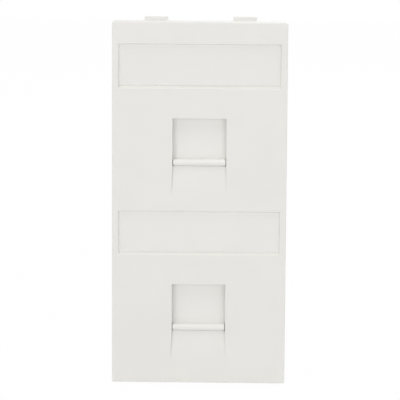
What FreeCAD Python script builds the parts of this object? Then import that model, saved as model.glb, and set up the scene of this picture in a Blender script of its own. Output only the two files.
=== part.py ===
import FreeCAD, Part
import math
import os

# Keystone faceplate for two data jacks, with sprung dust shutters and label windows.
# Millimetres. X runs to the right as seen from the front, the front face looks
# towards -Y and +Z is up. The origin is the middle of the rear rim, the plane that
# meets the wall box.

V = FreeCAD.Vector

# --- cover: plate and skirt ---
plate_w = 52.0            # width of the plate
plate_depth = 8.0         # front face to rear rim
front_wall = 2.3
skirt_wall = 1.6
corner_round = 0.3        # upright corners of the skirt
edge_round = 0.2          # edge round the front face
rib_wall = 1.6            # cross ribs
rib_root = 0.5            # how far what stands on the wall is sunk into it
rib_gap = 4.7             # cross rib to the carrier above it
end_room = 1.9            # end ribs to the inside of the skirt

# --- keystone jack and its carrier ---
jack_w = 14.5             # standard jack body
jack_h = 16.0
jack_clear = 0.4          # all of the play between jack and socket
jack_rise = 6.15          # middle of the jack above the window's lower edge
carrier_depth = 9.9       # front of the socket to its rear
carrier_side = 1.8        # side walls
carrier_end = 1.5         # walls over and under the pockets
socket_lip = 1.6          # flange, and the frame the jack's face rests against
lug_pocket = 1.6          # how far the fixed lug reaches below the jack
lug_length = 4.0
lug_ledge = 1.6           # ledge behind the fixed lug
latch_pocket = 2.2        # room for the sprung latch above the jack
latch_length = 6.7
latch_ledge = 1.4         # how far the ledge behind the latch hangs down
lead_in = 1.2             # slopes at the rear mouth
flange_edge = 0.85        # flange below the carrier's underside
flange_side = 1.5         # flange beyond the rails

# --- window and finger ramp ---
window_side = 0.75        # window beyond the jack, each side
window_h = 14.3
ramp_h = 8.6              # length of the finger ramp below the window
ramp_depth = 1.2          # its depth at the window
ramp_flare = 0.3          # how much wider it ends, each side

# --- dust shutter ---
shutter_t = 1.2
shutter_side = 1.3        # overlap behind the wall, each side
shutter_under = 1.2       # overlap below the window
shutter_over = 2.2        # overlap above the window
shutter_play = 0.15       # in front of and behind the shutter
rail_play = 0.2           # beside the shutter
stop_play = 0.1           # shutter above its stop
bar_h = 1.95              # finger bar
bar_lift = 0.1            # bar above the window's lower edge
bar_side = 0.15           # bar short of the window's sides
bar_sunk = 0.3            # nose of the bar below the front face
bar_top_play = 0.25       # bar below the window's upper edge when open
bar_nose = 0.9            # rounded part of its section, front to back
bar_end_round = 0.25      # round its ends
boss_w = 3.2              # boss that carries the spring
boss_h = 1.6

# --- shutter guide on the back of the front wall ---
rail_w = 2.0
rail_above = 1.3          # rail beyond the open shutter
stop_h = 1.9
keeper_lip = 0.9          # lips that hold the raised shutter
keeper_t = 0.8
keeper_gap = 0.3          # lips above the carrier

# --- return spring ---
spring_length = 21.2      # with the shutter closed
spring_od = 2.5
spring_wire = 0.3
spring_turns = 10         # all turns, with the two closed end turns
spring_steps = 12         # straight steps in a turn
spring_sides = 6          # flats round the wire
closed_pitch = 0.36       # pitch of the end turns
spring_end_play = 0.02
pin_d = 1.4               # pins inside the spring
top_pin_length = 5.0
shutter_pin_length = 3.0

# --- what holds the carrier ---
dowel_d = 1.2
dowel_play = 0.1
dowel_stand = 0.5         # dowel beyond the flange
dowel_inset = 1.5         # from the flange's end
arm_w = 6.0
arm_t = 1.35
arm_play = 0.15
arm_catch = 0.5
arm_nose = 0.9
notch_play = 0.6          # notch in the flange beside the boss

# --- label window and card ---
label_side = 1.9          # plate beside the recess
label_gap = 8.9           # recess above the window
label_h = 13.25           # recess, with its pry slope
pry_slope = 0.9           # sloped lower edge of the recess
cover_t = 0.8             # clear window
cover_play = 0.12         # beside the clear window
cover_end_play = 0.1      # above and below it
cover_sunk = 0.05         # its face below the front face
cover_bevel = 0.1
card_t = 0.2
card_margin = 0.15        # card short of the clear window, each side
card_end_margin = 0.15
ear_w = 3.0
ear_t = 0.4
ear_reach = 0.45

# --- snap hooks to the wall box ---
hook_w = 7.0
hook_spacing = 26.6       # between the middles of a pair
hook_length = 4.5         # beyond the rim
hook_shoulder = 1.6       # rim to the catching face
hook_reach = 1.05         # how far the nose stands out
hook_land = 0.5           # flat top of the nose
hook_release = 0.35       # slope of the catching face, so that the plate pulls off
hook_tip = 0.5            # thinned tip of the leg

past = 1.0                # how far a cut runs past the faces it opens

# --- derived places, front to back ---
y_front = -plate_depth
y_wall = y_front + front_wall
y_root = y_wall - rib_root
y_shutter = y_wall + shutter_play
y_carrier = y_shutter + shutter_t + shutter_play
y_flange = y_carrier + socket_lip
y_carrier_rear = y_carrier + carrier_depth
y_spring = y_carrier
y_boss = y_spring + spring_od / 2 + spring_wire / 2
y_recess = y_front + cover_sunk + cover_t + card_t
y_card = y_recess - card_t
y_cover = y_card - cover_t

# --- derived widths, all half widths ---
window_x = jack_w / 2 + window_side
shutter_x = window_x + shutter_side
rail_x = shutter_x + rail_play
rail_mid_x = rail_x + rail_w / 2
flange_x = rail_x + rail_w + flange_side
socket_x = (jack_w + jack_clear) / 2
carrier_x = socket_x + carrier_side
recess_x = plate_w / 2 - label_side
notch_x = boss_w / 2 + notch_play

# --- derived heights, measured from the window's lower edge ---
socket_h = jack_h + jack_clear
socket_low = jack_rise - socket_h / 2
socket_high = jack_rise + socket_h / 2
carrier_low = socket_low - lug_pocket - carrier_end
carrier_high = socket_high + latch_pocket + carrier_end
flange_low = carrier_low - flange_edge
flange_high = window_h - flange_low
shutter_low = -shutter_under
shutter_high = window_h + shutter_over
travel = window_h - bar_lift - bar_h - bar_top_play
rib_low = shutter_high + spring_length
rib_high = rib_low + rib_wall
recess_low = window_h + label_gap
recess_high = recess_low + label_h
dowel_low = flange_low + dowel_inset
dowel_high = flange_high - dowel_inset

# --- derived heights of the whole plate ---
port_pitch = rib_high + rib_gap - flange_low
above_top_window = rib_high + end_room + skirt_wall
below_low_window = skirt_wall + end_room + rib_wall + rib_gap - flange_low
plate_h = above_top_window + port_pitch + below_low_window
z_top = plate_h / 2
z_bottom = -plate_h / 2
port_z = {
    "upper": z_top - above_top_window,
    "lower": z_top - above_top_window - port_pitch,
}


def block(x0, x1, y0, y1, z0, z1):
    return Part.makeBox(x1 - x0, y1 - y0, z1 - z0, V(x0, y0, z0))


def block_x(half, y0, y1, z0, z1):
    """A block centred on the upright middle plane."""
    return block(-half, half, y0, y1, z0, z1)


def prism_x(points, x0, x1):
    """A (y, z) outline drawn out along X."""
    wire = Part.makePolygon([V(x0, y, z) for y, z in points + points[:1]])
    return Part.Face(wire).extrude(V(x1 - x0, 0, 0))


def prism_y(points, y0, y1):
    """An (x, z) outline drawn out along Y."""
    wire = Part.makePolygon([V(x, y0, z) for x, z in points + points[:1]])
    return Part.Face(wire).extrude(V(0, y1 - y0, 0))


def prism_z(points, z0, z1):
    """An (x, y) outline drawn out along Z."""
    wire = Part.makePolygon([V(x, y, z0) for x, y in points + points[:1]])
    return Part.Face(wire).extrude(V(0, 0, z1 - z0))


def with_mirror(shapes):
    """The shapes and their images on the left."""
    return shapes + [s.mirror(V(0, 0, 0), V(1, 0, 0)) for s in shapes]


def edges_where(shape, test):
    """Straight edges whose two ends both pass the test."""
    return [e for e in shape.Edges if len(e.Vertexes) == 2 and all(test(v.Point) for v in e.Vertexes)]


def edges_along(shape, axis):
    """Straight edges that run along a world axis."""
    found = []
    for edge in shape.Edges:
        if len(edge.Vertexes) == 2:
            run = edge.Vertexes[1].Point - edge.Vertexes[0].Point
            if abs(abs(run.dot(axis)) - run.Length) < 1e-6:
                found.append(edge)
    return found


def one_solid(shape):
    """Merge split faces and check that a single valid solid is left."""
    merged = shape.removeSplitter()
    assert merged.isValid() and len(merged.Solids) == 1
    return merged.Solids[0]


# ---------------------------------------------------------------- front cover

def cover_shell():
    """Plate and skirt, open at the rear."""
    outer = block_x(plate_w / 2, y_front, 0, z_bottom, z_top)
    outer = outer.makeFillet(corner_round, edges_along(outer, V(0, 1, 0)))
    outer = outer.makeFillet(edge_round, edges_where(outer, lambda p: abs(p.y - y_front) < 1e-6))
    inner_x = plate_w / 2 - skirt_wall
    inside = block_x(inner_x, y_wall, past, z_bottom + skirt_wall, z_top - skirt_wall)
    return outer.cut(inside)


def cross_rib(z_low):
    reach = plate_w / 2 - skirt_wall / 2
    return block_x(reach, y_root, 0, z_low, z_low + rib_wall)


def shutter_guide(z):
    """Two rails, the stop between them and the lips that keep the raised shutter in."""
    rail_end_x = rail_x + rail_w
    rail_top = z + shutter_high + travel + rail_above
    rail = block(rail_x, rail_end_x, y_root, y_carrier, z + flange_low, rail_top)
    lip_low = z + flange_high + keeper_gap
    lip = block(rail_x - keeper_lip, rail_end_x, y_carrier, y_carrier + keeper_t, lip_low, rail_top)
    stop_top = z + shutter_low - stop_play
    stop = block_x(rail_mid_x, y_root, y_carrier, stop_top - stop_h, stop_top)
    return with_mirror([rail, lip]) + [stop]


def dowels(z, radius, y0, y1):
    """Four round dowels on the rails, or the holes they pass through."""
    pieces = []
    for height in (dowel_low, dowel_high):
        foot = V(rail_mid_x, y0, z + height)
        pieces.append(Part.makeCylinder(radius, y1 - y0, foot, V(0, 1, 0)))
    return with_mirror(pieces)


def snap_arms(z):
    """Two sprung arms whose noses close over the carrier's flange."""
    inner = flange_x + arm_play
    outer = inner + arm_t
    nose = y_flange + arm_play
    outline = [
        (inner, y_root), (outer, y_root), (outer, nose + arm_nose), (inner, nose + arm_nose),
        (flange_x - arm_catch, nose + arm_nose / 3), (flange_x - arm_catch, nose), (inner, nose),
    ]
    middle = z + window_h / 2
    return with_mirror([prism_z(outline, middle - arm_w / 2, middle + arm_w / 2)])


def spring_pin(z_end, length):
    """Round pin inside the spring, from its seat upwards or downwards."""
    direction = V(0, 0, 1 if length > 0 else -1)
    return Part.makeCylinder(pin_d / 2, abs(length), V(0, y_spring, z_end), direction)


def hook(x, up):
    """Leg that carries on from the skirt, with a wedge nose facing outwards."""
    face = up * z_top
    inner = face - up * skirt_wall
    crest = hook_shoulder + hook_release
    outline = [
        (-past, inner), (hook_length - hook_tip, inner), (hook_length, face - up * hook_tip),
        (hook_length, face), (crest + hook_land, face + up * hook_reach),
        (crest, face + up * hook_reach), (hook_shoulder, face), (-past, face),
    ]
    return prism_x(outline, x - hook_w / 2, x + hook_w / 2)


def window_cut(z):
    """Square window with the sloping finger ramp below it."""
    hole = block_x(window_x, y_front - past, y_wall + past, z, z + window_h)
    deep = y_front + ramp_depth
    slope = prism_x([
        (y_front - past, z + past), (deep, z + past), (deep, z),
        (y_front, z - ramp_h), (y_front - past, z - ramp_h),
    ], -plate_w / 2, plate_w / 2)
    wide = window_x + ramp_flare
    plan = prism_y([
        (-window_x, z + past), (-window_x, z), (-wide, z - ramp_h), (wide, z - ramp_h),
        (window_x, z), (window_x, z + past),
    ], y_front - 2 * past, y_wall)
    return hole.fuse(slope.common(plan))


def label_recess(z):
    """Recess with a sloped lower edge, and a slot at each end for the window's ears."""
    low = z + recess_low
    high = z + recess_high
    pocket = prism_x([
        (y_front - past, low), (y_front, low), (y_recess, low + pry_slope),
        (y_recess, high), (y_front - past, high),
    ], -recess_x, recess_x)
    middle = (low + pry_slope + high) / 2
    half = ear_w / 2 + cover_end_play
    near = y_card - ear_t - cover_end_play
    far = y_card + cover_end_play
    ear_slots = block_x(recess_x + ear_reach, near, far, middle - half, middle + half)
    return pocket.fuse(ear_slots)


def front_cover():
    body = cover_shell()
    solid = [cross_rib(z_bottom + skirt_wall + end_room)]
    holes = []
    for z in port_z.values():
        solid.append(cross_rib(z + rib_low))
        solid.append(spring_pin(z + rib_low, -top_pin_length))
        solid += shutter_guide(z)
        solid += dowels(z, dowel_d / 2, y_root, y_flange + dowel_stand)
        solid += snap_arms(z)
        holes += [window_cut(z), label_recess(z)]
    for x in (-hook_spacing / 2, hook_spacing / 2):
        solid += [hook(x, 1), hook(x, -1)]
    return one_solid(body.fuse(solid).cut(holes))


# ------------------------------------------------------------------- shutters

def finger_bar(z, y_inside):
    """Bar with a half-round nose and eased ends, drawn out along X."""
    half = window_x - bar_side
    low = z + bar_lift
    high = low + bar_h
    y_nose = y_front + bar_sunk
    y_flat = y_nose + bar_nose
    nose = Part.Arc(V(-half, y_flat, low), V(-half, y_nose, low + bar_h / 2), V(-half, y_flat, high))
    sides = Part.makePolygon([
        V(-half, y_flat, high), V(-half, y_inside, high), V(-half, y_inside, low), V(-half, y_flat, low),
    ])
    bar = Part.Face(Part.Wire([nose.toShape()] + sides.Edges)).extrude(V(2 * half, 0, 0))
    ends = [e for e in bar.Edges if e.BoundBox.XLength < 1e-6 and e.BoundBox.YMin < y_inside - 1e-6]
    return bar.makeFillet(bar_end_round, ends)


def shutter(z):
    """Sliding shutter with a finger bar in front and a spring boss behind."""
    plate = block_x(shutter_x, y_shutter, y_shutter + shutter_t, z + shutter_low, z + shutter_high)
    y_inside = y_shutter + shutter_t / 2
    bar = finger_bar(z, y_inside)
    top = z + shutter_high
    boss = block_x(boss_w / 2, y_inside, y_boss, top - boss_h, top)
    pin = spring_pin(top, shutter_pin_length)
    pin_root = Part.makeCylinder(pin_d / 2, boss_h, V(0, y_spring, top - boss_h))
    return one_solid(plate.fuse([bar, boss, pin, pin_root]))


# -------------------------------------------------------------------- springs

def coil_height(turn):
    """Height of the wire's middle after so many turns: closed, open, closed."""
    active = spring_turns - 2
    open_rise = spring_length - spring_wire - 2 * spring_end_play - 2 * closed_pitch
    if turn <= 1:
        return closed_pitch * turn
    if turn >= spring_turns - 1:
        return closed_pitch * (turn - active) + open_rise
    return closed_pitch + open_rise * (turn - 1) / active


def return_spring(z):
    """Compression spring between the shutter and the cross rib above it."""
    radius = (spring_od - spring_wire) / 2
    start = z + shutter_high + spring_wire / 2 + spring_end_play
    line = []
    for step in range(spring_turns * spring_steps + 1):
        turn = step / spring_steps
        out = V(math.cos(2 * math.pi * turn), math.sin(2 * math.pi * turn), 0) * radius
        line.append(V(0, y_spring, start + coil_height(turn)) + out)
    along = (line[1] - line[0]).normalize()
    across = along.cross(V(0, 0, 1)).normalize()
    over = along.cross(across)
    section = []
    for side in range(spring_sides + 1):
        angle = 2 * math.pi * (side % spring_sides) / spring_sides
        offset = across * math.cos(angle) + over * math.sin(angle)
        section.append(line[0] + offset * (spring_wire / 2))
    coil = Part.makePolygon(line).makePipeShell([Part.makePolygon(section)], True, False, 1)
    assert coil.isValid() and coil.Volume > 0
    return coil


# ----------------------------------------------------------- keystone carriers

def socket_cut(z):
    """Socket for a jack: fixed-lug pocket below, latch pocket above, open rear mouth."""
    low = z + socket_low
    high = z + socket_high
    lug_end = y_flange + lug_length
    latch_end = y_flange + latch_length
    mouth = y_carrier_rear + past
    outline = [
        (y_carrier - past, low), (y_flange, low), (y_flange, low - lug_pocket),
        (lug_end, low - lug_pocket), (lug_end, low), (lug_end + lug_ledge, low),
        (y_carrier_rear, low - lead_in), (mouth, low - lead_in),
        (mouth, high + lead_in), (y_carrier_rear, high + lead_in),
        (y_carrier_rear - lead_in, high + latch_pocket - latch_ledge),
        (latch_end, high + latch_pocket - latch_ledge), (latch_end, high + latch_pocket),
        (y_flange, high + latch_pocket), (y_flange, high), (y_carrier - past, high),
    ]
    return prism_x(outline, -socket_x, socket_x)


def keystone_carrier(z):
    """Carrier that holds one jack behind the shutter, on a flange that the cover's arms grip."""
    body = block_x(carrier_x, y_carrier, y_carrier_rear, z + carrier_low, z + carrier_high)
    body = body.makeFillet(carrier_side / 2, edges_along(body, V(0, 1, 0)))
    flange = block_x(flange_x, y_carrier, y_flange, z + flange_low, z + flange_high)
    flange = flange.makeFillet(flange_edge, edges_along(flange, V(0, 1, 0)))
    low, high = z + socket_high - past, z + flange_high + past
    notch = block_x(notch_x, y_carrier - past, y_flange, low, high)
    holes = dowels(z, dowel_d / 2 + dowel_play, y_carrier - past, y_carrier_rear + past)
    return one_solid(body.fuse(flange).cut([socket_cut(z), notch] + holes))


# ------------------------------------------------------------------- labelling

def cover_span(z):
    """Lower and upper edge of the clear window."""
    low = z + recess_low + pry_slope + cover_end_play
    high = z + recess_high - cover_end_play
    return low, high


def label_window(z):
    """Clear window that snaps over the card, with an ear at each end."""
    low, high = cover_span(z)
    pane = block_x(recess_x - cover_play, y_cover, y_card, low, high)
    pane = pane.makeChamfer(cover_bevel, edges_where(pane, lambda p: abs(p.y - y_cover) < 1e-6))
    middle = (low + high) / 2
    ear_x = recess_x + ear_reach - cover_play
    ears = block_x(ear_x, y_card - ear_t, y_card, middle - ear_w / 2, middle + ear_w / 2)
    return one_solid(pane.fuse(ears))


def label_card(z):
    """Paper card between the recess and the clear window."""
    low, high = cover_span(z)
    half = recess_x - cover_play - card_margin
    return block_x(half, y_card, y_recess, low + card_end_margin, high - card_end_margin)


def build():
    nodes = {"front_cover": front_cover()}
    for name, z in port_z.items():
        nodes[name + "_shutter"] = shutter(z)
        nodes[name + "_shutter_spring"] = return_spring(z)
        nodes[name + "_keystone_carrier"] = keystone_carrier(z)
        nodes[name + "_label_window"] = label_window(z)
        nodes[name + "_label_card"] = label_card(z)
    return nodes


os.makedirs("parts", exist_ok=True)
for name, shape in build().items():
    shape.exportStep("parts/" + name + ".step")
    size = shape.BoundBox
    print("%-26s %8.1f mm3  x %.2f %.2f  y %.2f %.2f  z %.2f %.2f" % (
        name, shape.Volume, size.XMin, size.XMax, size.YMin, size.YMax, size.ZMin, size.ZMax))
print("plate height %.2f, port pitch %.2f, travel %.2f" % (plate_h, port_pitch, travel))
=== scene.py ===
import math

import bpy
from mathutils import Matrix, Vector


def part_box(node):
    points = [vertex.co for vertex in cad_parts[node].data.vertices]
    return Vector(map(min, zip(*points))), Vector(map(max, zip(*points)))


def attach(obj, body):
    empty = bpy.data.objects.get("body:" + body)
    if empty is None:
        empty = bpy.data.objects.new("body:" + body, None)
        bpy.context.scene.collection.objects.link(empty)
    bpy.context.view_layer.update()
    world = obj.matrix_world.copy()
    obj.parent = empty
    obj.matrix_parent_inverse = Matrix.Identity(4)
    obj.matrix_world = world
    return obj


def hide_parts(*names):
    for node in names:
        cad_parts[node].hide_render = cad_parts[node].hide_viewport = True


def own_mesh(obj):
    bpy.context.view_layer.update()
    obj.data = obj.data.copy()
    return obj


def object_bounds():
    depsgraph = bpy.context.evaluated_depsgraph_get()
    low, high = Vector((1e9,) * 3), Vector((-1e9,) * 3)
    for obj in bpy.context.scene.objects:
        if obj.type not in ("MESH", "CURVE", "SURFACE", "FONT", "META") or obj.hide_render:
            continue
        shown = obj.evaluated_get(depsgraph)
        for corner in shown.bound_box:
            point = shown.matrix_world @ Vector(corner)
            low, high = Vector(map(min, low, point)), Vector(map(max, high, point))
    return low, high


# A white keystone faceplate with two sprung dust shutters and two label windows.
# Metres throughout, in the part's own frame: front towards -Y, +Z up.

MM = 0.001
PORTS = ("upper", "lower")

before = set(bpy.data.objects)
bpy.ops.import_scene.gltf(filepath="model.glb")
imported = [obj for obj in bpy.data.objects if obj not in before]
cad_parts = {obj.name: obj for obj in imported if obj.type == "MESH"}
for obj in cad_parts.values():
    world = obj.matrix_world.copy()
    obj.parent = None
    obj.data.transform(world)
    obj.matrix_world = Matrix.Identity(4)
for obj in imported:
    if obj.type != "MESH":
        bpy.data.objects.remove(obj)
cad_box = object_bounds()

# --- moulded edges ---
MOULD_EDGE = 0.09 * MM        # broken edge of the plate and the carriers
SHUTTER_EDGE = 0.07 * MM
PANE_EDGE = 0.03 * MM
EDGE_STEPS = 2
MERGE_REACH = 0.0005 * MM     # points this close are one
FLAT_ANGLE = math.radians(1)  # faces this close to flat are one
SHARP_ANGLE = math.radians(30)
SMOOTH_ANGLE = math.radians(40)

# --- finger bars and clear windows ---
BAR_DEPTH = 2.2 * MM          # nose to root
BAR_SETTLE = 0.06 * MM        # the bar closes down almost onto the sill
PANE_FIT_SIDES = 0.105 * MM   # the clear window nearly fills its recess
PANE_FIT_ENDS = 0.088 * MM
PANE_RIM = 0.13 * MM          # what counts as its rim, broken edge included
EAR_REACH = 0.45 * MM         # of its ears, past the rim

# --- return springs ---
COIL_TURNS = 10
COIL_STEPS = 30               # steps in a turn
WIRE_RADIUS = 0.15 * MM
WIRE_SIDES = 12
CLOSED_PITCH = 0.33 * MM      # end turns lie almost wire on wire

# --- paper strips ---
CARD_THICKNESS = 0.14 * MM
CARD_LIFT = 0.02 * MM         # off the recess floor
CARD_CORNER = 0.3 * MM
CARD_CORNER_STEPS = 5
CARD_BOW = 0.02 * MM          # how far the strip's middle lifts
CARD_COLUMNS = 24
CARD_ROWS = 8
PLACES = 6                    # of a metre, to which points are matched

# --- ejector pin marks on the rear of the plate ---
PIN_RADIUS = 1.5 * MM
PIN_STEPS = 32                # round its edge
PIN_PROUD = 0.14 * MM
PIN_DISH = 0.12 * MM          # the mark's middle, below its rim
PIN_RIM = 0.25 * MM
PIN_SIDE = 20.0 * MM          # either side of the middle
PIN_RISES = (-3.8 * MM, 35.2 * MM)   # above the lower end of a shutter

# --- camera and light ---
CAMERA_PLACE = (14.8 * MM, -680 * MM, 104.5 * MM)
CAMERA_TURN = (81.284, -0.330, 1.288)   # degrees
CAMERA_LENS = 205.3
CAMERA_NEAR = 10 * MM
SKY_COLOUR = (0.962, 0.982, 1.0, 1)
SKY_STRENGTH = 0.53
WARM = (1.0, 0.975, 0.935)
SOFT_WHITE = (1.0, 0.988, 0.965)
LAMPS = (                     # name, place, size, watts, colour; all aim at the part's middle
    ("overhead", (-0.08, -0.22, 0.72), 0.5, 2.0, WARM),
    ("left", (-0.42, -0.90, 0.15), 0.4, 1.45, SOFT_WHITE),
    ("right", (0.42, -0.90, 0.15), 0.4, 1.15, SOFT_WHITE),
    ("rear", (0.28, 0.85, 0.42), 0.4, 2.6, SOFT_WHITE),
)
FLOOR_COLOUR = (0.92, 0.92, 0.92, 1)
FLOOR_GLOW = 0.985            # share of plain white that the camera sees in it
FLOOR_SIZE = 3.0
FLOOR_DROP = 0.2 * MM         # below the part


# ------------------------------------------------------------------ by hand

def deselect():
    bpy.ops.object.select_all(action="DESELECT")


def take(piece):
    """Make this piece the only one selected, and the active one."""
    deselect()
    piece.select_set(True)
    bpy.context.view_layer.objects.active = piece


def named(name):
    """The piece just added, with its name."""
    piece = bpy.context.active_object
    piece.name = name
    piece.data.name = name
    return piece


def settle(piece):
    """Put the piece's place, turn and size into its mesh."""
    take(piece)
    bpy.ops.object.transform_apply(location=True, rotation=True, scale=True)


def editing(piece):
    take(piece)
    bpy.ops.object.mode_set(mode="EDIT")


def done_editing():
    bpy.ops.object.mode_set(mode="OBJECT")


def select_by(piece, kind, test):
    """Select vertices, edges or faces by a test on each one, from object mode."""
    editing(piece)
    bpy.ops.mesh.select_all(action="DESELECT")
    bpy.ops.mesh.select_mode(type=kind)
    done_editing()
    mesh = piece.data
    for part in {"VERT": mesh.vertices, "EDGE": mesh.edges, "FACE": mesh.polygons}[kind]:
        part.select = test(part)
    bpy.ops.object.mode_set(mode="EDIT")


def smooth(piece):
    take(piece)
    bpy.ops.object.shade_smooth_by_angle(angle=SMOOTH_ANGLE)


def apply_modifier(piece, kind, **settings):
    take(piece)
    modifier = piece.modifiers.new(kind.lower(), kind)
    for key, value in settings.items():
        setattr(modifier, key, value)
    bpy.ops.object.modifier_apply(modifier=modifier.name)


# ---------------------------------------------------------------- materials

def new_group(name, inputs, outputs):
    """An empty shader group; inputs are (name, value), outputs are (name, kind)."""
    group = bpy.data.node_groups.new(name, "ShaderNodeTree")
    for label, value in inputs:
        kind = "NodeSocketColor" if isinstance(value, tuple) else "NodeSocketFloat"
        socket = group.interface.new_socket(label, in_out="INPUT", socket_type=kind)
        socket.default_value = value
    for label, kind in outputs:
        group.interface.new_socket(label, in_out="OUTPUT", socket_type=kind)
    return group, group.nodes.new("NodeGroupInput"), group.nodes.new("NodeGroupOutput")


def add(tree, kind, **settings):
    """A new node; settings that name a socket fill it, and the others set the node itself."""
    node = tree.nodes.new(kind)
    for key, value in settings.items():
        label = key.replace("_", " ")
        if label in node.inputs:
            node.inputs[label].default_value = value
        else:
            setattr(node, key, value)
    return node


def math_node(tree, operation, first, second):
    """One sum; each side is a number or a socket."""
    node = add(tree, "ShaderNodeMath", operation=operation)
    for socket, value in zip(node.inputs, (first, second)):
        if isinstance(value, (int, float)):
            socket.default_value = value
        else:
            tree.links.new(value, socket)
    return node.outputs[0]


def mix_colours(tree, share, first, second):
    """Two colours mixed; the share is a socket, and each colour a value or a socket."""
    node = add(tree, "ShaderNodeMix", data_type="RGBA")
    for index, value in ((0, share), (6, first), (7, second)):
        if isinstance(value, tuple):
            node.inputs[index].default_value = value
        else:
            tree.links.new(value, node.inputs[index])
    return node.outputs[2]


def mix_shaders(tree, share, first, second, out):
    """Two shaders mixed by a socket's share of the second, into the output node."""
    mix = add(tree, "ShaderNodeMixShader")
    tree.links.new(share, mix.inputs[0])
    tree.links.new(first.outputs[0], mix.inputs[1])
    tree.links.new(second.outputs[0], mix.inputs[2])
    tree.links.new(mix.outputs[0], out.inputs["Surface"])


def seen_directly(tree):
    """1 for what the camera sees, by itself, in gloss or through clear plastic; else 0."""
    rays = add(tree, "ShaderNodeLightPath").outputs
    seen = math_node(tree, "MAXIMUM", rays["Is Camera Ray"], rays["Is Glossy Ray"])
    return math_node(tree, "MAXIMUM", seen, rays["Is Transmission Ray"])


def make_moulded_surface():
    """Spark-eroded mould texture with slow flow clouds: colour, roughness and a normal."""
    group, given, result = new_group("moulded_surface", [
        ("Colour", (0.8, 0.8, 0.8, 1)), ("Cloud Colour", (0.78, 0.78, 0.78, 1)),
        ("Roughness", 0.4), ("Roughness Spread", 0.06),
        ("Grain Size", 0.25), ("Grain Depth", 0.004),
    ], [
        ("Colour", "NodeSocketColor"), ("Roughness", "NodeSocketFloat"),
        ("Normal", "NodeSocketVector"),
    ])
    place = add(group, "ShaderNodeTexCoord")
    millimetres = add(group, "ShaderNodeMapping", Scale=(1 / MM, 1 / MM, 1 / MM))
    group.links.new(place.outputs["Object"], millimetres.inputs["Vector"])
    grain = add(group, "ShaderNodeTexNoise", Detail=4.0, Roughness=0.6)
    scale = math_node(group, "DIVIDE", 1.0, given.outputs["Grain Size"])
    clouds = add(group, "ShaderNodeTexNoise", Scale=0.09, Detail=3.0, Roughness=0.5)
    streaks = add(group, "ShaderNodeTexNoise", Scale=0.7, Detail=5.0, Roughness=0.7)
    for texture in (grain, clouds, streaks):
        group.links.new(millimetres.outputs["Vector"], texture.inputs["Vector"])
    group.links.new(scale, grain.inputs["Scale"])

    spread = add(group, "ShaderNodeMapRange", From_Min=0.35, From_Max=0.65)
    group.links.new(clouds.outputs["Fac"], spread.inputs["Value"])
    colour = mix_colours(group, spread.outputs["Result"],
                         given.outputs["Colour"], given.outputs["Cloud Colour"])
    group.links.new(colour, result.inputs["Colour"])

    uneven = math_node(group, "SUBTRACT", streaks.outputs["Fac"], 0.5)
    uneven = math_node(group, "MULTIPLY", uneven, given.outputs["Roughness Spread"])
    uneven = math_node(group, "ADD", given.outputs["Roughness"], uneven)
    group.links.new(uneven, result.inputs["Roughness"])

    bump = add(group, "ShaderNodeBump", Strength=1.0, Distance=1.0)
    height = math_node(group, "MULTIPLY", grain.outputs["Fac"], given.outputs["Grain Depth"])
    group.links.new(math_node(group, "MULTIPLY", height, MM), bump.inputs["Height"])
    group.links.new(bump.outputs["Normal"], result.inputs["Normal"])
    return group


def new_material(name):
    """A material, its tree and its shader."""
    material = bpy.data.materials.new(name)
    material.use_nodes = True
    tree = material.node_tree
    return material, tree, tree.nodes["Principled BSDF"]


def moulded_plastic(name, colour, cloud, roughness, grain_depth):
    """Opaque moulded plastic with the shared mould texture; its grain is this deep in mm."""
    material, tree, shader = new_material(name)
    surface = add(tree, "ShaderNodeGroup", node_tree=MOULDED_SURFACE)
    surface.inputs["Colour"].default_value = colour
    surface.inputs["Cloud Colour"].default_value = cloud
    surface.inputs["Roughness"].default_value = roughness
    surface.inputs["Grain Depth"].default_value = grain_depth
    tree.links.new(surface.outputs["Colour"], shader.inputs["Base Color"])
    tree.links.new(surface.outputs["Roughness"], shader.inputs["Roughness"])
    tree.links.new(surface.outputs["Normal"], shader.inputs["Normal"])
    shader.inputs["IOR"].default_value = 1.5
    return material


def clear_plastic(name):
    """Clear moulded pane with a satin haze; light passes to the card below it."""
    material, tree, shader = new_material(name)
    shader.inputs["Base Color"].default_value = (0.868, 0.862, 0.842, 1)
    shader.inputs["Transmission Weight"].default_value = 0.5
    shader.inputs["Roughness"].default_value = 0.12
    shader.inputs["IOR"].default_value = 1.49
    clear = add(tree, "ShaderNodeBsdfTransparent", Color=(0.97, 0.97, 0.965, 1))
    rays = add(tree, "ShaderNodeLightPath").outputs
    straight = math_node(tree, "MAXIMUM", rays["Is Shadow Ray"], rays["Is Diffuse Ray"])
    mix_shaders(tree, straight, shader, clear, tree.nodes["Material Output"])
    return material


def card_paper(name):
    """Uncoated card: short fibres in the colour and the surface."""
    material, tree, shader = new_material(name)
    place = add(tree, "ShaderNodeTexCoord")
    stretch = add(tree, "ShaderNodeMapping", Scale=(1.6 / MM, 1.6 / MM, 4.5 / MM))
    tree.links.new(place.outputs["Object"], stretch.inputs["Vector"])
    fibres = add(tree, "ShaderNodeTexNoise", Scale=1.0, Detail=6.0, Roughness=0.7, Distortion=0.6)
    tree.links.new(stretch.outputs["Vector"], fibres.inputs["Vector"])
    colour = mix_colours(tree, fibres.outputs["Fac"],
                         (0.845, 0.832, 0.808, 1), (0.905, 0.893, 0.870, 1))
    tree.links.new(colour, shader.inputs["Base Color"])
    bump = add(tree, "ShaderNodeBump", Strength=0.4, Distance=0.02 * MM)
    tree.links.new(fibres.outputs["Fac"], bump.inputs["Height"])
    tree.links.new(bump.outputs["Normal"], shader.inputs["Normal"])
    shader.inputs["Roughness"].default_value = 0.85
    return material


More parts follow.
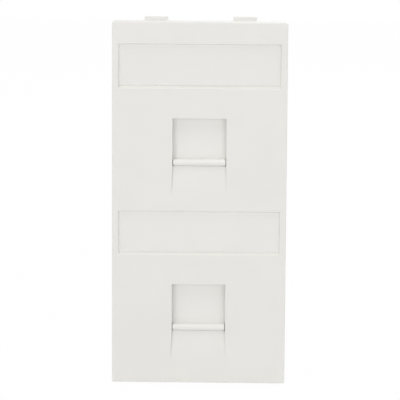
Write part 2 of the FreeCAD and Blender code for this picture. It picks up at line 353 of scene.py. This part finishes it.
def spring_wire(name):
    """Bright drawn wire with faint draw lines round it."""
    material, tree, shader = new_material(name)
    place = add(tree, "ShaderNodeTexCoord")
    lines = add(tree, "ShaderNodeTexNoise", Scale=9.0 / MM, Detail=2.0)
    tree.links.new(place.outputs["Object"], lines.inputs["Vector"])
    rough = math_node(tree, "MULTIPLY", lines.outputs["Fac"], 0.16)
    tree.links.new(math_node(tree, "ADD", rough, 0.2), shader.inputs["Roughness"])
    shader.inputs["Metallic"].default_value = 1.0
    colour = mix_colours(tree, lines.outputs["Fac"], (0.50, 0.50, 0.51, 1), (0.66, 0.66, 0.66, 1))
    tree.links.new(colour, shader.inputs["Base Color"])
    return material


MOULDED_SURFACE = make_moulded_surface()
COVER_WHITE = moulded_plastic(
    "cover_white", colour=(0.800, 0.790, 0.760, 1), cloud=(0.788, 0.780, 0.752, 1),
    roughness=0.42, grain_depth=0.004)
# The shutter's white is lighter than the cover's, though both are the same white plastic: painted
# light that brightens the shutter face, and its bar, where they sit in the shade of the recessed
# window.
SHUTTER_WHITE_PAINTED_LIGHTER = moulded_plastic(
    "shutter_white_painted_lighter", colour=(0.832, 0.819, 0.790, 1), cloud=(0.822, 0.810, 0.783, 1),
    roughness=0.45, grain_depth=0.003)
CARRIER_WHITE = moulded_plastic(
    "carrier_white", colour=(0.770, 0.768, 0.745, 1), cloud=(0.758, 0.757, 0.736, 1),
    roughness=0.5, grain_depth=0.006)
CLEAR_PANE = clear_plastic("clear_pane")
CARD_PAPER = card_paper("uncoated_card")
SPRING_WIRE = spring_wire("spring_wire")


def finish_piece(piece, material, body, slot_name, *nodes):
    """Give a new piece its material and body, and hide the CAD nodes it stands for; slot_name is
    not used.
    """
    piece.data.materials.clear()
    piece.data.materials.append(material)
    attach(piece, body)
    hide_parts(*nodes)


# ------------------------------------------------------------ moulded pieces

def soften(node, name, edge):
    """A copy of a rigid node whose sharp moulded edges are broken by a small bevel."""
    deselect()
    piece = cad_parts[node].copy()
    piece.data = piece.data.copy()
    bpy.context.scene.collection.objects.link(piece)
    piece.parent = None
    for key in list(piece.keys()):
        if key.startswith("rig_"):
            del piece[key]
    piece.name = name
    piece.data.name = name
    editing(piece)
    bpy.ops.mesh.select_all(action="SELECT")
    bpy.ops.mesh.remove_doubles(threshold=MERGE_REACH)
    bpy.ops.mesh.customdata_custom_splitnormals_clear()
    bpy.ops.mesh.dissolve_limited(angle_limit=FLAT_ANGLE)
    bpy.ops.mesh.vert_connect_concave()
    done_editing()
    apply_modifier(piece, "BEVEL", width=edge, segments=EDGE_STEPS, limit_method="ANGLE",
                   angle_limit=SHARP_ANGLE, use_clamp_overlap=False, loop_slide=False)
    apply_modifier(piece, "TRIANGULATE", ngon_method="BEAUTY", min_vertices=5)
    smooth(piece)
    apply_modifier(piece, "WEIGHTED_NORMAL", keep_sharp=True)
    return piece


def make_pane(port):
    """Clear label window, with its rim brought close to the walls of the recess."""
    low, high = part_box(port + "_label_window")
    pane = soften(port + "_label_window", port + "_clear_window", PANE_EDGE)
    side = high.x - EAR_REACH
    for point in pane.data.vertices:
        across = abs(point.co.x)
        if side - PANE_RIM < across < side + PANE_EDGE:
            point.co.x += math.copysign(PANE_FIT_SIDES, point.co.x)
        if point.co.z < low.z + PANE_RIM:
            point.co.z -= PANE_FIT_ENDS
        elif point.co.z > high.z - PANE_RIM:
            point.co.z += PANE_FIT_ENDS
    finish_piece(pane, CLEAR_PANE, "cover", "clear_cover", port + "_label_window")


def settle_bar(slide):
    """Bring the finger bar's underside down, close to the sill of the window."""
    points = slide.data.vertices
    nose = min(point.co.y for point in points)
    bar = [point for point in points if point.co.y < nose + BAR_DEPTH / 2]
    underside = min(point.co.z for point in bar)
    for point in points:
        if point.co.y < nose + BAR_DEPTH and abs(point.co.z - underside) < 2 * BAR_SETTLE:
            point.co.z -= BAR_SETTLE


def make_moulded_pieces():
    cover = soften("front_cover", "faceplate", MOULD_EDGE)
    finish_piece(cover, COVER_WHITE, "cover", "cover_plastic", "front_cover")
    for port in PORTS:
        slide = soften(port + "_shutter", port + "_dust_shutter", SHUTTER_EDGE)
        settle_bar(slide)
        finish_piece(slide, SHUTTER_WHITE_PAINTED_LIGHTER, port + "_shutter_body", "shutter_plastic",
                     port + "_shutter")
        carrier = soften(port + "_keystone_carrier", port + "_jack_carrier", MOULD_EDGE)
        finish_piece(carrier, CARRIER_WHITE, "cover", "carrier_plastic",
                     port + "_keystone_carrier")
        make_pane(port)


# ---------------------------------------------------------------- pin marks

def make_pin_mark():
    """Low round land with a dished middle, as an ejector pin leaves it; it faces the rear."""
    deselect()
    bpy.ops.mesh.primitive_circle_add(
        vertices=PIN_STEPS, radius=PIN_RADIUS, fill_type="NGON", rotation=(-math.pi / 2, 0, 0))
    mark = named("pin_mark")
    settle(mark)
    editing(mark)
    bpy.ops.mesh.select_all(action="SELECT")
    bpy.ops.mesh.select_mode(type="FACE")
    bpy.ops.mesh.extrude_region_move(TRANSFORM_OT_translate={"value": (0, PIN_PROUD, 0)})
    bpy.ops.mesh.inset(thickness=PIN_RIM, depth=0)
    bpy.ops.mesh.inset(thickness=PIN_RIM / 2, depth=-PIN_DISH)
    bpy.ops.mesh.select_all(action="SELECT")
    bpy.ops.mesh.normals_make_consistent(inside=False)
    done_editing()
    return mark


def make_pin_marks():
    """Two rows of marks beside each port, copied from one; each sits on the plate's rear."""
    pattern = make_pin_mark()
    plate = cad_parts["front_cover"]
    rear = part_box("front_cover")[1].y
    for port in PORTS:
        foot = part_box(port + "_shutter")[0].z
        for row, rise in enumerate(PIN_RISES):
            for column, side in enumerate((-1, 1)):
                mark = pattern.copy()
                mark.data = pattern.data.copy()
                bpy.context.scene.collection.objects.link(mark)
                mark.name = "%s_pin_mark_%d_%d" % (port, row, column)
                mark.data.name = mark.name
                start = Vector((side * PIN_SIDE, 2 * rear, foot + rise))
                mark.location = plate.ray_cast(start, Vector((0, -1, 0)))[1]
                settle(mark)
                smooth(mark)
                mark.data.materials.append(COVER_WHITE)
                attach(mark, "cover")
    deselect()
    pattern.select_set(True)
    bpy.ops.object.delete()


# -------------------------------------------------------------------- springs

def coil_rise(turn, length):
    """Height of the wire's middle after so many turns: closed, open, closed."""
    open_turns = COIL_TURNS - 2
    open_pitch = (length - 2 * CLOSED_PITCH) / open_turns
    first = min(turn, 1.0) * CLOSED_PITCH
    middle = max(0.0, min(turn - 1.0, open_turns)) * open_pitch
    last = max(0.0, turn - COIL_TURNS + 1) * CLOSED_PITCH
    return first + middle + last


def make_spring(port):
    """Round wire wound step by step, from the shutter up to the cross rib."""
    low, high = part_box(port + "_shutter_spring")
    centre_y = (low.y + high.y) / 2
    radius = (high.x - low.x) / 2 - WIRE_RADIUS
    length = high.z - low.z - 2 * WIRE_RADIUS
    deselect()
    bpy.ops.mesh.primitive_circle_add(
        vertices=WIRE_SIDES, radius=WIRE_RADIUS, fill_type="NGON",
        location=(radius, centre_y, low.z + WIRE_RADIUS), rotation=(math.pi / 2, 0, 0))
    coil = named(port + "_return_spring")
    settle(coil)
    editing(coil)
    bpy.ops.mesh.select_all(action="SELECT")
    bpy.ops.mesh.select_mode(type="FACE")
    step_angle = 2 * math.pi / COIL_STEPS
    for step in range(COIL_TURNS * COIL_STEPS):
        rise = coil_rise((step + 1) / COIL_STEPS, length) - coil_rise(step / COIL_STEPS, length)
        bpy.ops.mesh.extrude_region_move(TRANSFORM_OT_translate={"value": (0, 0, rise)})
        bpy.ops.transform.rotate(
            value=-step_angle, orient_axis="Z", center_override=(0, centre_y, 0))
    bpy.ops.mesh.select_all(action="SELECT")
    bpy.ops.mesh.normals_make_consistent(inside=False)
    done_editing()
    smooth(coil)
    finish_piece(coil, SPRING_WIRE, "cover", "spring_steel", port + "_shutter_spring")
    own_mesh(coil)


# ---------------------------------------------------------------- label cards

def make_card(port):
    """Paper strip with rounded corners and a faint bow, loose under the clear pane."""
    low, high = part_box(port + "_label_card")
    floor_y = high.y
    middle_x = (low.x + high.x) / 2
    middle_z = (low.z + high.z) / 2
    deselect()
    bpy.ops.mesh.primitive_grid_add(
        x_subdivisions=CARD_COLUMNS, y_subdivisions=CARD_ROWS, size=1.0,
        location=(middle_x, floor_y - CARD_LIFT, middle_z), rotation=(math.pi / 2, 0, 0))
    card = named(port + "_paper_strip")
    card.scale = (high.x - low.x, high.z - low.z, 1)
    settle(card)
    for point in card.data.vertices:
        across = (point.co.x - middle_x) / (high.x - middle_x)
        point.co.y -= CARD_BOW * (1 - across * across)

    def rounded(x, z):
        return round(x, PLACES), round(z, PLACES)

    corners = {rounded(x, z) for x in (low.x, high.x) for z in (low.z, high.z)}
    select_by(card, "VERT", lambda point: rounded(point.co.x, point.co.z) in corners)
    bpy.ops.mesh.bevel(offset=CARD_CORNER, segments=CARD_CORNER_STEPS, affect="VERTICES")
    done_editing()
    apply_modifier(card, "SOLIDIFY", thickness=CARD_THICKNESS, offset=1.0)
    smooth(card)
    finish_piece(card, CARD_PAPER, "cover", "card_paper", port + "_label_card")


# ------------------------------------------------------------ stage and light

def white_stage(name, colour, glow):
    """Pale matt surface; the camera also sees a share of plain white in it."""
    material, tree, shader = new_material(name)
    shader.inputs["Base Color"].default_value = colour
    shader.inputs["Roughness"].default_value = 0.9
    shader.inputs["Specular IOR Level"].default_value = 0.1
    white = add(tree, "ShaderNodeEmission", Color=(1, 1, 1, 1), Strength=1.0)
    share = math_node(tree, "MULTIPLY", seen_directly(tree), glow)
    mix_shaders(tree, share, shader, white, tree.nodes["Material Output"])
    return material


def make_stage():
    deselect()
    lowest = cad_box[0][2]
    bpy.ops.mesh.primitive_plane_add(size=FLOOR_SIZE, location=(0, 0, lowest - FLOOR_DROP))
    floor = named("floor")
    settle(floor)
    floor.data.materials.append(white_stage("floor_white", FLOOR_COLOUR, FLOOR_GLOW))


def make_world():
    """Even white surroundings: plain white to the camera and in gloss, softer as light."""
    world = bpy.data.worlds.new("studio")
    bpy.context.scene.world = world
    world.use_nodes = True
    tree = world.node_tree
    tree.nodes.clear()
    out = tree.nodes.new("ShaderNodeOutputWorld")
    light = add(tree, "ShaderNodeBackground", Color=SKY_COLOUR, Strength=SKY_STRENGTH)
    white = add(tree, "ShaderNodeBackground", Color=(1, 1, 1, 1), Strength=1.0)
    mix_shaders(tree, seen_directly(tree), light, white, out)


def make_lamp(name, place, size, power, colour):
    bpy.ops.object.light_add(type="AREA", location=place)
    lamp = bpy.context.active_object
    lamp.name = name
    lamp.data.shape = "SQUARE"
    lamp.data.size = size
    lamp.data.energy = power
    lamp.data.color = colour
    lamp.rotation_euler = (-Vector(place)).to_track_quat("-Z", "Y").to_euler()


def make_light():
    make_world()
    for lamp in LAMPS:
        make_lamp(*lamp)


def make_camera():
    turn = [math.radians(degrees) for degrees in CAMERA_TURN]
    bpy.ops.object.camera_add(location=CAMERA_PLACE, rotation=turn)
    camera = bpy.context.active_object
    camera.name = "camera"
    camera.data.lens = CAMERA_LENS
    camera.data.clip_start = CAMERA_NEAR
    bpy.context.scene.camera = camera


make_camera()
make_stage()
make_light()
make_pin_marks()
make_moulded_pieces()
for port in PORTS:
    make_spring(port)
    make_card(port)

bpy.context.scene.view_settings.view_transform = "Standard"
